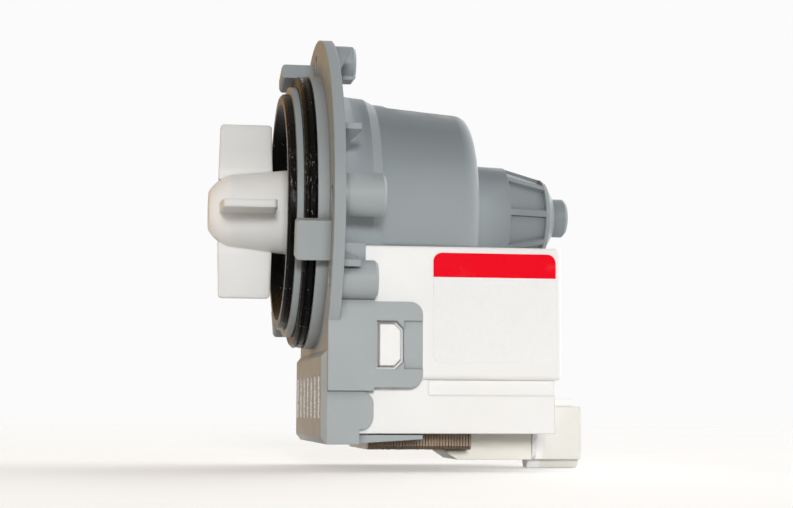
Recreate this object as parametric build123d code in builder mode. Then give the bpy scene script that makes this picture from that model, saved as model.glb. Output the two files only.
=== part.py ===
from build123d import *
import math
import os

os.makedirs("parts", exist_ok=True)

# Drain pump with a synchronous motor, in millimetres.
# +X runs along the rotor axis from the impeller to the rear bearing, +Z is up and
# the stator hangs below the rotor, towards -Z. The label is on the -Y side.
# The origin is on the rotor axis in the plane of the flange's front seating face.

# Fits and clearances
press_gap = 0.02        # same assembly, pressed or bonded
seat_gap = 0.05         # same assembly, slipped into a seat
cover_gap = 0.1         # stator cover in its bracket
slip_gap = 0.3          # parts that are pushed together by hand
run_gap = 0.05          # shaft in its bushes, radial
free_gap = 0.5          # turning parts past fixed ones

# How far an added shape starts inside what it joins, and a cut runs past it
overlap = 0.5
overcut = 1.0

# Flange and spigot
flange_r = 39.75
flange_t = 2.5
shoulder_r = 31.5
shoulder_w = 2.5
groove_w = 2.8
groove_depth = 3.7
lip_w = 1.4
lip_drop = 2.7          # the lip ends below the spigot's radius
lip_wall = 2.8
gasket_proud = 3.5      # height of the gasket above the bottom of its groove
gasket_edge = 0.6
gasket_valley = 0.25    # dip between its two sealing lips

# Rotor tube and shroud
tube_r = 12.0
tube_wall = 1.4
tube_bore_end = 38.0
shroud_root_r = 27.9
shroud_neck_x = 6.5
shroud_neck_r = 26.95
shroud_step_x = 10.2
shroud_step_r = 26.6
shroud_step_end = 12.4
shroud_body_r = 25.45
shroud_end_r = 23.9
shroud_taper_end = 31.3
shroud_rear = 34.8
shroud_rear_r = 20.0
shroud_corner = 4.0
shroud_foot_z = -9.6
shroud_core_wall = 2.2
shroud_core_depth = 8.0
lip_inner_wall = 1.7
root_ring_wall = 0.4
web_rear = 10.2         # rear face of the wall in front of the stator

# Roof between the two pole shoulders
roof_half_w = 8.8
roof_start = 12.5
roof_start_r = 26.0
roof_end = 30.0
roof_end_r = 20.5
roof_wall = 2.1
root_ring_gap = 0.16     # from the ring at the tube's root to the corners of the pole slot
root_ring_end = 13.0
shoulder_fillet = 1.8
foot_fillet = 1.3       # rear corners of the shoulders, at the foot
fillet_share = 0.36     # the most that the fillet takes of the side it runs along

# Nose with its fins and tip
nose_draft = 0.1        # the nose starts this much below the tube's radius
nose_ring_draft = 0.45
nose_ring_end = 44.0
nose_end = 53.0
nose_taper = 3.05       # how much smaller than the tube the nose ends
nose_edge = 1.0
nose_edge_depth = 0.6
panel_depth = 1.0
panel_run = 0.35
panel_rise = 0.2        # how much shallower the panels end
fin_count = 8
fin_t = 1.5
fin_sink = 0.05         # the fins end this far below the nose's rings
fin_start = 0.2         # and start this far inside the first ring
tip_start = 55.9
tip_end = 59.4
tip_r = 4.5
tip_foot = 0.5
tip_edge = 0.7
tip_ring_r = 3.2
tip_ring_w = 0.35       # half width of the grooves on the tip
tip_ring_depth = 0.5
tip_dimple_r = 1.2
tip_dimple_depth = 0.25
rear_seat_end = 49.8

# Screw bosses, on one bolt circle
boss_centre_r = 35.2
ear_boss_r = 4.6
ear_boss_end = 11.2
ear_hole_r = 2.05
ear_angles = (0, 180)
screw_boss_r = 4.15
screw_boss_end = 10.3
top_boss_end = 9.1
screw_hole_r = 1.85
screw_angles = (90, 210, 330)
boss_edge = 0.6
boss_square = 1.3       # width of the squared side, in boss radii

# Gussets behind the flange and hooks in front of it
gusset_offset = 22      # from the ear bosses and the top boss, degrees
gusset_inner_r = 30.0
gusset_outer_r = 39.0
gusset_h = 3.6
gusset_t = 1.5
gusset_flat = 1.0
hook_count = 3
hook_angle = 76
hook_gap = 0.8          # between the spigot and the hooks
hook_t = 3.4
hook_w = 8.5
hook_len = 7.6
hook_edge = 0.9

# Stator core, a stack of U-shaped sheets
stack_front = web_rear + slip_gap
stack_len = 23.2
core_half_w = 16.4
pole_drop = 1.5         # the poles end this far below the top of the tube
core_bottom = -54.1
core_corner = 3.2
core_foot_corner = 0.8
leg_w = 7.9
yoke_h = 8.0
pole_gap = 0.6          # air between the rotor tube and the pole faces
slot_clear_y = 0.25     # between the core and the slot it slides into
slot_clear_z = 0.6
stack_rear = stack_front + stack_len
pole_r = tube_r + pole_gap
leg_inner = core_half_w - leg_w

# Coil bobbin and its two windings
bobbin_wall = 1.0
bobbin_clear = 0.15
bobbin_flange_t = 1.2
bobbin_top = -14.9
bobbin_bottom = core_bottom + yoke_h + slip_gap
bobbin_edge = 0.2       # flange standing past the winding
winding_t = 6.5
winding_corner = 3.0
toe_len = 4.5           # the terminal block's toe, under the yoke
toe_t = 0.5
toe_slope = 2.5

# Stator cover, an open-bottomed shell
cover_half_w = 27.6
cover_wall = 1.9
cover_front = 5.1
cover_rear = 51.9
cover_top = -9.9
cover_bottom = -50.4
cover_corner = 1.8
cover_foot_edge = 1.0
cover_top_edge = 0.6
waist_top = -38.8
waist_bottom = -42.2
waist_half_w = 25.9
waist_front = 22.3
skirt_half_w = 26.5
skirt_step = 1.6        # the skirt's rear wall stands this far inside the body's
panel_half_w = 22.2
panel_top = -13.8
panel_bottom = -37.6
panel_proud = 0.6
panel_corner = 2.6
panel_slope = 20        # of its edge, degrees
panel_sink = 0.2
waist_wall = 0.6        # the least, at the waist
tongue_inner_y = 8.5
tongue_outer_y = 21.1
tongue_top = -26.0
tongue_bottom = -35.3
tongue_slot = 1.25
saddle_h = 4.6
saddle_inset = 0.5
nose_slip = 0.5         # the saddle's opening around the rotor tube

# Connector shroud on the cover
socket_len = 11.3       # behind the skirt
socket_y = -0.05        # centre of the mouth
socket_mouth_w = 10.9
socket_mouth_h = 10.2
socket_left_wall = 1.4
socket_right_wall = 1.6
socket_top = -44.4
socket_wall = 0.95
socket_floor_t = 2.2
socket_edge = 0.5
key_w = 5.2
key_y = -1.7
key_h = 2.0
key_slope = 64          # of its sides, degrees
crest_y = 0.4           # where the raised part of the top starts
crest_h = 1.8
latch_y = 4.0
latch_w = 2.6
latch_h = 1.8
latch_len = 6.5
eye_y = 0.65
eye_w = 2.1
eye_len = 2.4
eye_offset = 5.5        # behind the skirt
apron_half_w = 9.2      # the wall the connector stands on
apron_corner = 2.2
apron_t = 1.0
tab_t = 0.8
tab_w = 6.3
tab_pitch = 5.0
tab_front = 45.0
tab_recess = 2.0        # the tabs end this far inside the mouth
tab_edge = 0.7

# Pocket for the thermal cut-out
pocket_y = 18.75
pocket_w = 11.8
pocket_len = 8.2        # behind the skirt
pocket_corner = 1.5
pocket_top = -40.6
pocket_h = 9.6
pocket_wall = 1.2
pocket_edge = 1.1
cutout_h = 5.0
cutout_w = 8.0

# Stator bracket below the flange
bracket_wall = 2.2
bracket_half_w = 29.8
bracket_top = -21.7
bracket_wall_top = -25.7
bracket_step = -41.3
bracket_rear = 10.0
bracket_bottom = -52.7
foot_half_w = 28.7
foot_cut_x = 7.0
foot_cut_z = -49.6
foot_corner = 2.8
arm_rear = 20.5
arm_top = -22.2
arm_bottom = -40.6
arm_corner = 2.8
window_front = 10.5
window_rear = 16.4
window_top = -26.3
window_bottom = -36.6
window_corner = 1.6
recess_depth = 0.4      # step between the window and the end of the arm
cheek_rear = 8.1
cheek_t = 1.1
ledge_rear = 21.0
ledge_w = 6.2
ledge_t = 1.8
bracket_proud = 1.2     # the bracket's front wall stands this far ahead of the flange
bracket_front_gap = 1.0  # below the spigot
bracket_bevel = 50      # slope of its edges, degrees
vent_count = 7
vent_pitch = 7.8
vent_w = 3.2
vent_h = 9.4
vent_z = -42.6

# Blank label
label_front = 23.1
label_w = 27.2
label_top = -11.3
label_h = 23.9
label_t = 0.2
label_corner = 1.9

# Catches on the cover's sides, which end inside the bracket's windows
catch_sink = 0.3
catch_inset = 0.5
catch_slope = 12        # of their edges, degrees

# Impeller and its lost-motion drive
vane_count = 4
vane_clock = 1.1        # how far the vanes stand turned from upright
vane_r = 20.0
vane_front = -22.3
vane_len = 12.4         # at the hub
vane_t = 2.45           # at the hub
vane_draft = 1.5
vane_corner = 0.8
hub_front = -24.5
hub_rear = -5.8
hub_rear_r = 9.8
hub_front_r = 8.3
hub_nose_x = -19.6      # where the barrel starts to round off
hub_ball_x = -17.0      # centre of the rounding
hub_cavity_r = 6.6
hub_cap_t = 2.2
hub_cap_inset = 0.2
hub_root = 0.6          # the vanes start this far inside the hub's wall
stop_root = 0.4
shaft_spare = 0.4
stop_half_angle = 16
stop_inner_r = 4.2
damper_half_angle = 24
damper_inner_r = 3.5
dog_half_angle = 20
dog_sleeve_r = 3.0
dog_sink = 0.4          # the lug starts this far inside the sleeve
dog_angle = 90
damper_side_gap = 0.5   # between the stop and its damper, degrees

# Rotor, bearings and seals
shaft_r = 2.0
shaft_front = -22.2
shaft_rear = 51.4
magnet_front = 9.6
magnet_len = 25.0
magnet_bore_r = 3.6
magnet_flange_r = 8.5
magnet_flange_t = 1.5
bush_r = 4.55
bush_len = 4.5
rear_bush_len = 6.5
mount_t = 1.75
washer_r = 4.2
washer_t = 0.6
plate_rim_r = 27.2
plate_rim_t = 1.8
plate_floor_x = -5.0
plate_t = 2.0
plate_edge = 0.5
plate_rim_w = 1.0
plate_side_t = 1.8
plate_side_draft = 0.6
plate_foot = 1.5
plate_step = 1.2         # from the back of the plate to the bearing's seat
seat_lip = 0.6
seat_spare = 0.3
seal_r = 5.15
seal_lip_front = 0.4
seal_lip_t = 0.6
seal_hollow = 1.2
seal_back_t = 0.7
seal_root = 1.4
seal_sunk = 0.1
tip_clear = 3.0         # how far the blind bore runs on past the shaft
shaft_edge = 0.4
magnet_gap = 0.6        # air between the magnet and the rotor tube

# Places that follow from the sizes above
tube_bore_r = tube_r - tube_wall
nose_start_r = tube_r - nose_draft
nose_ring_r = tube_r - nose_ring_draft
nose_end_r = tube_r - nose_taper
core_top = tube_r - pole_drop
slot_top = core_top + slot_clear_z
slot_half = core_half_w + slot_clear_y
root_ring_r = math.hypot(roof_half_w, slot_top) - root_ring_gap
lip_r = shoulder_r - lip_drop
lip_bore_r = lip_r - lip_wall
hook_inner_r = shoulder_r + hook_gap
hook_outer_r = hook_inner_r + hook_t
groove_rear = -shoulder_w
groove_front = groove_rear - groove_w
lip_front = groove_front - lip_w
groove_r = shoulder_r - groove_depth
mount_r = bush_r + seat_gap + mount_t
seat_r = mount_r + seat_gap
fin_root_r = seat_r + 1
skirt_slip = skirt_half_w + slip_gap
skirt_rear = cover_rear - skirt_step
socket_rear = skirt_rear + socket_len
socket_floor_x = skirt_rear + socket_floor_t
eye_x = skirt_rear + eye_offset
pocket_rear = skirt_rear + pocket_len
tab_rear = socket_rear - tab_recess
bracket_inner = cover_half_w + cover_gap
magnet_r = tube_bore_r - magnet_gap
magnet_rear = magnet_front + magnet_len


def sector(inner_r, outer_r, half_angle, mid_angle):
    """Outline of a ring sector in the current sketch, as a closed line."""
    a0 = math.radians(mid_angle - half_angle)
    a1 = math.radians(mid_angle + half_angle)
    am = math.radians(mid_angle)
    inner = [(inner_r * math.cos(a), inner_r * math.sin(a)) for a in (a0, am, a1)]
    outer = [(outer_r * math.cos(a), outer_r * math.sin(a)) for a in (a0, am, a1)]
    ThreePointArc(*inner)
    Line(inner[2], outer[2])
    ThreePointArc(*outer)
    Line(outer[0], inner[0])


def radial_plane(angle):
    """Plane through the rotor axis: local x points outwards, local y along +X."""
    a = math.radians(angle)
    return Plane(origin=(0, 0, 0), x_dir=(0, math.cos(a), math.sin(a)),
                 z_dir=(0, math.sin(a), -math.cos(a)))


def section(x0, x1, inner_r, outer_r):
    """Half section of a plain ring about the rotor axis, in the current sketch."""
    with Locations(((x0 + x1) / 2, (inner_r + outer_r) / 2)):
        Rectangle(x1 - x0, outer_r - inner_r)


# Pump housing: one moulding with the spigot, flange, rotor tube, pole shoulders,
# finned nose, screw bosses, bayonet hooks and the bracket that carries the stator.

# Everything above the roof, between the shoulders, which is cut away
with BuildPart() as roof_clearance:
    with BuildSketch(Plane.XZ):
        Polygon((roof_start, roof_start_r), (roof_start, shroud_root_r + 1),
                (shroud_rear + 1, shroud_root_r + 1), (shroud_rear + 1, tube_r),
                (roof_end, tube_r), (roof_end, roof_end_r), align=None)
    revolve(axis=Axis.X)
    with Locations((0, 0, roof_end_r)):
        Box(4 * roof_end, 2 * roof_half_w, 2 * roof_end_r, mode=Mode.INTERSECT)

# The hollow under the roof, around the rotor tube
with BuildPart() as roof_hollow:
    with BuildSketch(Plane.XZ):
        Polygon((web_rear, root_ring_r), (web_rear, roof_end_r - roof_wall),
                (roof_end + 1, roof_end_r - roof_wall), (roof_end + 1, tube_r),
                (root_ring_end, tube_r), (root_ring_end, root_ring_r), align=None)
    revolve(axis=Axis.X)
    with Locations((0, 0, roof_end_r + core_top - core_corner)):
        Box(4 * roof_end, 2 * roof_half_w, 2 * roof_end_r, mode=Mode.INTERSECT)

with BuildPart() as pump_housing:
    # Body of revolution, from the spigot to the tip
    with BuildSketch(Plane.XZ):
        with BuildLine():
            front = Polyline(
                (0, tube_bore_r), (0, lip_bore_r), (lip_front, lip_bore_r), (lip_front, lip_r),
                (groove_front, lip_r), (groove_front, groove_r), (groove_rear, groove_r),
                (groove_rear, shoulder_r), (0, shoulder_r), (0, flange_r), (flange_t, flange_r),
                (flange_t, shroud_root_r), (shroud_neck_x, shroud_neck_r),
                (shroud_step_x, shroud_step_r), (shroud_step_end, shroud_body_r),
                (shroud_taper_end, shroud_end_r))
            corner = RadiusArc(front @ 1, (shroud_rear, shroud_rear_r), shroud_corner)
            Polyline(
                corner @ 1, (shroud_rear, nose_start_r), (nose_ring_end, nose_ring_r),
                (nose_ring_end + panel_run, nose_ring_r - panel_depth),
                (nose_end - panel_run, nose_end_r - panel_depth + panel_rise), (nose_end, nose_end_r),
                (nose_end + nose_edge, nose_end_r - nose_edge_depth), (tip_start, tip_r + tip_foot),
                (tip_start, tip_r), (tip_end - tip_edge, tip_r), (tip_end, tip_r - tip_edge),
                (tip_end, tip_ring_r + tip_ring_w), (tip_end - tip_ring_depth, tip_ring_r),
                (tip_end, tip_ring_r - tip_ring_w), (tip_end, tip_dimple_r + tip_ring_w),
                (tip_end - tip_dimple_depth, tip_dimple_r), (tip_end - tip_dimple_depth, 0),
                (shaft_rear + tip_clear, 0), (shaft_rear + tip_clear, shaft_r + free_gap),
                (rear_seat_end, shaft_r + free_gap), (rear_seat_end, seat_r),
                (tube_bore_end, seat_r), (tube_bore_end, tube_bore_r), front @ 0)
        make_face()
    revolve(axis=Axis.X)

    # Hollow in front of the stator wall, closed by the seal plate
    with BuildSketch(Plane.YZ):
        Circle(lip_bore_r - lip_inner_wall)
        Circle(root_ring_r + root_ring_wall, mode=Mode.SUBTRACT)
        with Locations((0, shroud_foot_z + shroud_core_wall - flange_r)):
            Rectangle(2 * flange_r, 2 * flange_r, mode=Mode.SUBTRACT)
    extrude(amount=shroud_core_depth, mode=Mode.SUBTRACT)

    # Open the shroud below its foot
    with BuildSketch(Plane.YZ.offset(flange_t)):
        with Locations((0, shroud_foot_z - flange_r)):
            Rectangle(2 * flange_r, 2 * flange_r)
        Circle(tube_r, mode=Mode.SUBTRACT)
    extrude(amount=shroud_rear, mode=Mode.SUBTRACT)

    # Slot that takes the two stator poles
    with BuildSketch(Plane.YZ.offset(web_rear)):
        Polygon((-slot_half, shroud_foot_z - 1), (-slot_half, slot_top - core_corner),
                (-slot_half + core_corner, slot_top), (slot_half - core_corner, slot_top),
                (slot_half, slot_top - core_corner), (slot_half, shroud_foot_z - 1), align=None)
        Circle(tube_r, mode=Mode.SUBTRACT)
    extrude(amount=shroud_rear, mode=Mode.SUBTRACT)
    add(roof_clearance.part, mode=Mode.SUBTRACT)
    add(roof_hollow.part, mode=Mode.SUBTRACT)

    # Soften the edges of the pole shoulders
    inner_edges = (edges().filter_by(Axis.X).filter_by_position(Axis.Z, 2, shroud_root_r)
                   .filter_by(lambda e: abs(abs(e.center().Y) - roof_half_w) < 0.01
                           and e.center().X > root_ring_end))
    side_h = math.sqrt((roof_end_r - roof_wall) ** 2 - roof_half_w ** 2) - slot_top
    fillet(inner_edges, min(shoulder_fillet, fillet_share * side_h))

    # Round the rear corners of the pole shoulders at their foot
    foot_edges = edges().filter_by(lambda e: e.bounding_box().min.X > shroud_taper_end - 0.01
                                   and abs(e.bounding_box().min.Z - shroud_foot_z) < 0.01
                                   and abs(e.bounding_box().max.Z - shroud_foot_z) < 0.01)
    fillet(foot_edges, foot_fillet)

    # Fins along the nose
    for i in range(fin_count):
        with BuildSketch(radial_plane(360 * i / fin_count)):
            Polygon((fin_root_r, nose_ring_end - fin_start),
                    (nose_ring_r - fin_sink, nose_ring_end - fin_start),
                    (nose_end_r - fin_sink, nose_end), (fin_root_r, nose_end), align=None)
        extrude(amount=fin_t / 2, both=True)

    # Screw bosses behind the flange, three of them with a squared inner side
    for angles, radius, end, squared in ((ear_angles, ear_boss_r, ear_boss_end, True),
                                         (screw_angles[1:], screw_boss_r, screw_boss_end, False),
                                         (screw_angles[:1], screw_boss_r, top_boss_end, True)):
        with BuildSketch(Plane.YZ.offset(flange_t - overlap)):
            for angle in angles:
                with PolarLocations(boss_centre_r, 1, start_angle=angle):
                    Circle(radius)
                    if squared:
                        with Locations((-radius / 2, 0)):
                            Rectangle(radius, boss_square * radius)
        extrude(amount=end - flange_t + overlap)
        chamfer(edges(Select.LAST).group_by(Axis.X)[-1], boss_edge)

    # The bosses beside the stator cover are flat where they face it
    with BuildSketch(Plane.YZ.offset(flange_t)):
        with Locations((0, shroud_foot_z)):
            Rectangle(2 * bracket_inner, shroud_foot_z - bracket_step, align=(Align.CENTER, Align.MAX))
        Circle(tube_r, mode=Mode.SUBTRACT)
    extrude(amount=screw_boss_end, mode=Mode.SUBTRACT)

    # Triangular gussets behind the flange, highest at the rim
    for base in (*ear_angles, screw_angles[0]):
        for angle in (base - gusset_offset, base + gusset_offset):
            with BuildSketch(radial_plane(angle)):
                Polygon((gusset_inner_r, flange_t - overlap), (gusset_outer_r, flange_t - overlap),
                        (gusset_outer_r, flange_t + gusset_h),
                        (gusset_outer_r - gusset_flat, flange_t + gusset_h),
                        (gusset_inner_r, flange_t), align=None)
            extrude(amount=gusset_t / 2, both=True)

    # Bayonet hooks around the spigot
    with BuildSketch(Plane.YZ.offset(-hook_len)):
        with PolarLocations((hook_inner_r + hook_outer_r) / 2, hook_count, start_angle=hook_angle):
            Rectangle(hook_outer_r - hook_inner_r, hook_w)
    extrude(amount=hook_len + overlap)
    fillet(edges(Select.LAST).group_by(Axis.X)[0], hook_edge)

    # Front wall of the stator bracket, its raised front and its row of vents
    with BuildSketch(Plane.YZ):
        with Locations((0, bracket_wall_top)):
            Rectangle(2 * bracket_half_w, bracket_wall_top - bracket_step, align=(Align.CENTER, Align.MAX))
        with Locations((0, bracket_step)):
            Rectangle(2 * foot_half_w, bracket_step - bracket_bottom, align=(Align.CENTER, Align.MAX))
        Circle(shoulder_r - overcut, mode=Mode.SUBTRACT)
    extrude(amount=bracket_wall)
    with BuildSketch(Plane.YZ):
        with Locations((0, bracket_bottom)):
            Rectangle(2 * foot_half_w, -bracket_bottom - shoulder_r - bracket_front_gap,
                      align=(Align.CENTER, Align.MIN))
    extrude(amount=-bracket_proud, taper=bracket_bevel)
    with BuildSketch(Plane.YZ.offset(-bracket_proud)):
        with Locations((0, vent_z)):
            with GridLocations(vent_pitch, 1, vent_count, 1):
                Rectangle(vent_w, vent_h)
    extrude(amount=bracket_wall + bracket_proud, mode=Mode.SUBTRACT)

    # Side plates of the bracket: cheek, upper plate with its latch arm, foot and ledge
    for side in (-1, 1):
        def side_plate(inner, thickness):
            start = Plane.XZ.offset(-side * inner)
            return start, -side * thickness

        plane, depth = side_plate(bracket_inner, bracket_half_w - bracket_inner)
        with BuildSketch(plane):
            with Locations((bracket_rear / 2, (bracket_top + bracket_step) / 2)):
                Rectangle(bracket_rear, bracket_top - bracket_step)
            with BuildSketch(mode=Mode.PRIVATE) as arm:
                with Locations(((bracket_rear + arm_rear) / 2 - 1, (arm_top + arm_bottom) / 2)):
                    Rectangle(arm_rear - bracket_rear + 2, arm_top - arm_bottom)
                fillet(arm.vertices().group_by(Axis.X)[-1], arm_corner)
            add(arm.sketch)
            with BuildSketch(mode=Mode.PRIVATE) as window:
                with Locations(((window_front + window_rear) / 2, (window_top + window_bottom) / 2)):
                    Rectangle(window_rear - window_front, window_top - window_bottom)
                chamfer(window.vertices().group_by(Axis.X)[-1], window_corner)
            add(window.sketch, mode=Mode.SUBTRACT)
        extrude(amount=depth)

        with BuildSketch(Plane.XZ.offset(-side * bracket_half_w)):
            with Locations((window_rear, (window_top + window_bottom) / 2)):
                Rectangle(arm_rear - window_rear + 1, window_top - window_bottom,
                          align=(Align.MIN, Align.CENTER))
        extrude(amount=side * recess_depth, mode=Mode.SUBTRACT)

        plane, depth = side_plate(skirt_slip, foot_half_w - skirt_slip)
        with BuildSketch(plane):
            with BuildLine():
                FilletPolyline((0, bracket_step + 0.01), (bracket_rear, bracket_step + 0.01),
                               (bracket_rear, foot_cut_z), (foot_cut_x, foot_cut_z), radius=foot_corner)
                Polyline((foot_cut_x, foot_cut_z), (foot_cut_x, bracket_bottom),
                         (0, bracket_bottom), (0, bracket_step + 0.01))
            make_face()
        extrude(amount=depth)

        plane, depth = side_plate(bracket_inner, cheek_t)
        with BuildSketch(plane):
            with Locations((cheek_rear / 2, (shroud_foot_z + bracket_top) / 2)):
                Rectangle(cheek_rear, shroud_foot_z - bracket_top)
        extrude(amount=depth)

        plane, depth = side_plate(skirt_slip - ledge_w, ledge_w)
        ledge_top = cover_bottom - slip_gap
        with BuildSketch(plane):
            Polygon((0, ledge_top), (ledge_rear, ledge_top), (ledge_rear, ledge_top - 0.5 * ledge_t),
                    (foot_cut_x, ledge_top - ledge_t), (0, ledge_top - ledge_t), align=None)
        extrude(amount=depth)

    # Screw holes, through boss and flange
    for angles, radius in ((ear_angles, ear_hole_r), (screw_angles, screw_hole_r)):
        with BuildSketch(Plane.YZ.offset(-1)):
            for angle in angles:
                with PolarLocations(boss_centre_r, 1, start_angle=angle):
                    Circle(radius)
        extrude(amount=ear_boss_end + 2, mode=Mode.SUBTRACT)
pump_housing.part.label = "pump_housing"
export_step(pump_housing.part, "parts/pump_housing.step")

# Spigot gasket: a rubber ring with two sealing lips, in the groove of the spigot
with BuildPart() as spigot_gasket:
    gasket_front = groove_front + seat_gap
    gasket_rear = groove_rear - seat_gap
    gasket_mid = (gasket_front + gasket_rear) / 2
    gasket_top = groove_r + gasket_proud
    gasket_bottom = groove_r + seat_gap
    with BuildSketch(Plane.XZ):
        Polygon((gasket_front, gasket_bottom), (gasket_front, gasket_top - gasket_edge),
                (gasket_front + gasket_edge, gasket_top), (gasket_mid, gasket_top - gasket_valley),
                (gasket_rear - gasket_edge, gasket_top), (gasket_rear, gasket_top - gasket_edge),
                (gasket_rear, gasket_bottom), align=None)
    revolve(axis=Axis.X)
spigot_gasket.part.label = "spigot_gasket"
export_step(spigot_gasket.part, "parts/spigot_gasket.step")

# Seal plate: a black dish that closes the spigot and carries the front bearing
plate_plug_r = lip_bore_r - seat_gap
plate_hub_r = tube_bore_r - seat_gap
plate_front = lip_front - plate_rim_t
plate_back = plate_floor_x + plate_t
mount_seat_front = plate_back + plate_step
mount_seat_rear = mount_seat_front + bush_len + seat_spare
plate_side_r = plate_plug_r - plate_side_t
with BuildPart() as seal_plate:
    with BuildSketch(Plane.XZ):
        Polygon((plate_front, plate_rim_r - plate_edge), (plate_front + plate_edge, plate_rim_r),
                (lip_front - press_gap, plate_rim_r), (lip_front - press_gap, plate_plug_r),
                (plate_back + plate_foot, plate_plug_r), (plate_back + plate_foot, plate_side_r),
                (plate_back, plate_side_r), (plate_back, plate_hub_r),
                (mount_seat_rear, plate_hub_r), (mount_seat_rear, seat_r),
                (mount_seat_front, seat_r), (mount_seat_front, shaft_r + free_gap),
                (mount_seat_front - seat_lip, shaft_r + free_gap),
                (mount_seat_front - seat_lip, seal_r + seat_gap),
                (plate_floor_x, seal_r + seat_gap), (plate_floor_x, plate_side_r - plate_side_draft),
                (plate_front, plate_plug_r - plate_rim_w), align=None)
    revolve(axis=Axis.X)
seal_plate.part.label = "seal_plate"
export_step(seal_plate.part, "parts/seal_plate.step")

# Shaft seal: a rubber ring with a thin lip around the shaft
seal_rear = mount_seat_front - seat_lip - press_gap
seal_front = plate_floor_x + seal_sunk
lip_inner_r = shaft_r + 2 * run_gap
with BuildPart() as shaft_seal:
    with BuildSketch(Plane.XZ):
        Polygon((seal_front, seal_r), (seal_rear, seal_r), (seal_rear, shaft_r + seal_hollow),
                (seal_rear - seal_back_t, shaft_r + seal_hollow), (seal_front, lip_inner_r),
                (seal_front - seal_lip_front, lip_inner_r),
                (seal_front - seal_lip_front, shaft_r + seal_lip_t),
                (seal_front, shaft_r + seal_root), align=None)
    revolve(axis=Axis.X)
shaft_seal.part.label = "shaft_seal"
export_step(shaft_seal.part, "parts/shaft_seal.step")

# Bearings: each a hard bush in a soft rubber ring, at both ends of the rotor
front_bush_front = mount_seat_front + press_gap
front_bush_rear = front_bush_front + bush_len
rear_bush_rear = rear_seat_end - press_gap
rear_bush_front = rear_bush_rear - rear_bush_len
for end, x0, x1 in (("front", front_bush_front, front_bush_rear),
                    ("rear", rear_bush_front, rear_bush_rear)):
    with BuildPart() as bearing_mount:
        with BuildSketch(Plane.XZ):
            section(x0, x1, bush_r + seat_gap, mount_r)
        revolve(axis=Axis.X)
    bearing_mount.part.label = f"{end}_bearing_mount"
    export_step(bearing_mount.part, f"parts/{end}_bearing_mount.step")
    with BuildPart() as bearing_bush:
        with BuildSketch(Plane.XZ):
            section(x0, x1, shaft_r + run_gap, bush_r)
        revolve(axis=Axis.X)
    bearing_bush.part.label = f"{end}_bearing_bush"
    export_step(bearing_bush.part, f"parts/{end}_bearing_bush.step")

# Rotor shaft, with a small chamfer at each end
with BuildPart() as rotor_shaft:
    with BuildSketch(Plane.YZ.offset(shaft_front)):
        Circle(shaft_r)
    extrude(amount=shaft_rear - shaft_front)
    chamfer(edges().filter_by(GeomType.CIRCLE), shaft_edge)
rotor_shaft.part.label = "rotor_shaft"
export_step(rotor_shaft.part, "parts/rotor_shaft.step")

# Magnet sleeve: plastic, on the shaft, with a flange at each end of the magnet
sleeve_r = magnet_bore_r - press_gap
sleeve_front = front_bush_rear + slip_gap + washer_t + press_gap
sleeve_rear = rear_bush_front - slip_gap - washer_t - press_gap
with BuildPart() as magnet_sleeve:
    with BuildSketch(Plane.XZ):
        section(sleeve_front, sleeve_rear, shaft_r + press_gap, sleeve_r)
        section(magnet_front - press_gap - magnet_flange_t, magnet_front - press_gap,
                shaft_r + press_gap, magnet_flange_r)
        section(magnet_rear + press_gap, magnet_rear + press_gap + magnet_flange_t,
                shaft_r + press_gap, magnet_flange_r)
    revolve(axis=Axis.X)
magnet_sleeve.part.label = "magnet_sleeve"
export_step(magnet_sleeve.part, "parts/magnet_sleeve.step")

# Rotor magnet: a plain ferrite ring, magnetised across its diameter
with BuildPart() as rotor_magnet:
    with BuildSketch(Plane.XZ):
        section(magnet_front, magnet_rear, magnet_bore_r, magnet_r)
    revolve(axis=Axis.X)
rotor_magnet.part.label = "rotor_magnet"
export_step(rotor_magnet.part, "parts/rotor_magnet.step")

# Thrust washers, between the sleeve's ends and the bushes
for end, x0 in (("front", sleeve_front - press_gap - washer_t), ("rear", sleeve_rear + press_gap)):
    with BuildPart() as thrust_washer:
        with BuildSketch(Plane.XZ):
            section(x0, x0 + washer_t, shaft_r + press_gap, washer_r)
        revolve(axis=Axis.X)
    thrust_washer.part.label = f"{end}_thrust_washer"
    export_step(thrust_washer.part, f"parts/{end}_thrust_washer.step")

# Drive dog: a sleeve pressed on the shaft inside the impeller, with one lug
cap_front = hub_rear - hub_cap_inset - hub_cap_t
dog_front = hub_nose_x + free_gap
dog_rear = cap_front - free_gap
dog_r = hub_cavity_r - free_gap
with BuildPart() as drive_dog:
    with BuildSketch(Plane.XZ):
        section(dog_front, dog_rear, shaft_r + press_gap, dog_sleeve_r)
    revolve(axis=Axis.X)
    with BuildSketch(Plane.YZ.offset(dog_front)):
        with BuildLine():
            sector(shaft_r + press_gap + dog_sink, dog_r, dog_half_angle, dog_angle)
        make_face()
    extrude(amount=dog_rear - dog_front)
drive_dog.part.label = "drive_dog"
export_step(drive_dog.part, "parts/drive_dog.step")

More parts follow.
